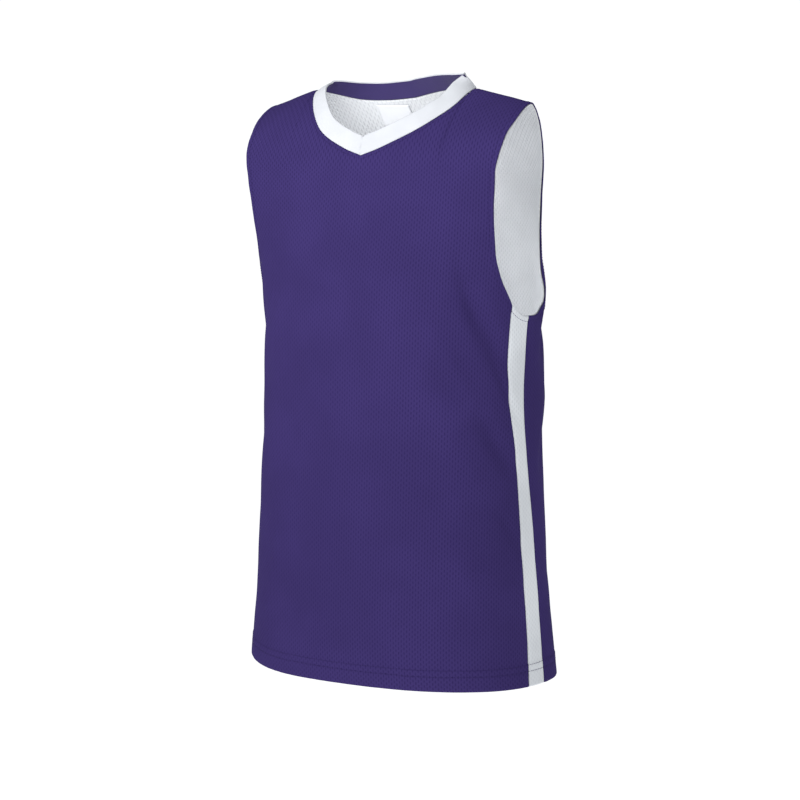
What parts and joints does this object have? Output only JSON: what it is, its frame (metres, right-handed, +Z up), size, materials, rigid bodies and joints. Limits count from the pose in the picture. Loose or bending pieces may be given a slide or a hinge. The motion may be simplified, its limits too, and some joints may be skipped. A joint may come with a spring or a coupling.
{
  "type": "reversible basketball jersey",
  "caption": "Sleeveless V-neck basketball jersey in two mesh layers, purple with a white collar and narrow white side panels, white inside, filled out with no wearer.",
  "frame": {"origin": "midway between the wearer's shoulders, at the height of the middle of the straps", "axes": "+Z up, the front faces -Y, the wearer's left arm is on +X"},
  "size_m": [0.356, 0.2391, 0.6458],
  "materials": {
    "outer_mesh": "matte purple polyester mesh with small closed dimples",
    "side_mesh": "matte white polyester mesh with small closed dimples",
    "collar_knit": "smooth matte white knit",
    "inner_mesh": "matte white polyester mesh with small closed dimples",
    "inner_collar_knit": "smooth matte purple knit",
    "label_tape": "smooth satin tape, blank"
  },
  "bodies": {
    "root": {"front": "outer_mesh", "back": "outer_mesh", "side_left": "side_mesh", "side_right": "side_mesh", "collar": "collar_knit", "lining_front": "inner_mesh", "lining_back": "inner_mesh", "collar_lining": "inner_collar_knit", "label": "label_tape"}
  },
  "joints": []
}
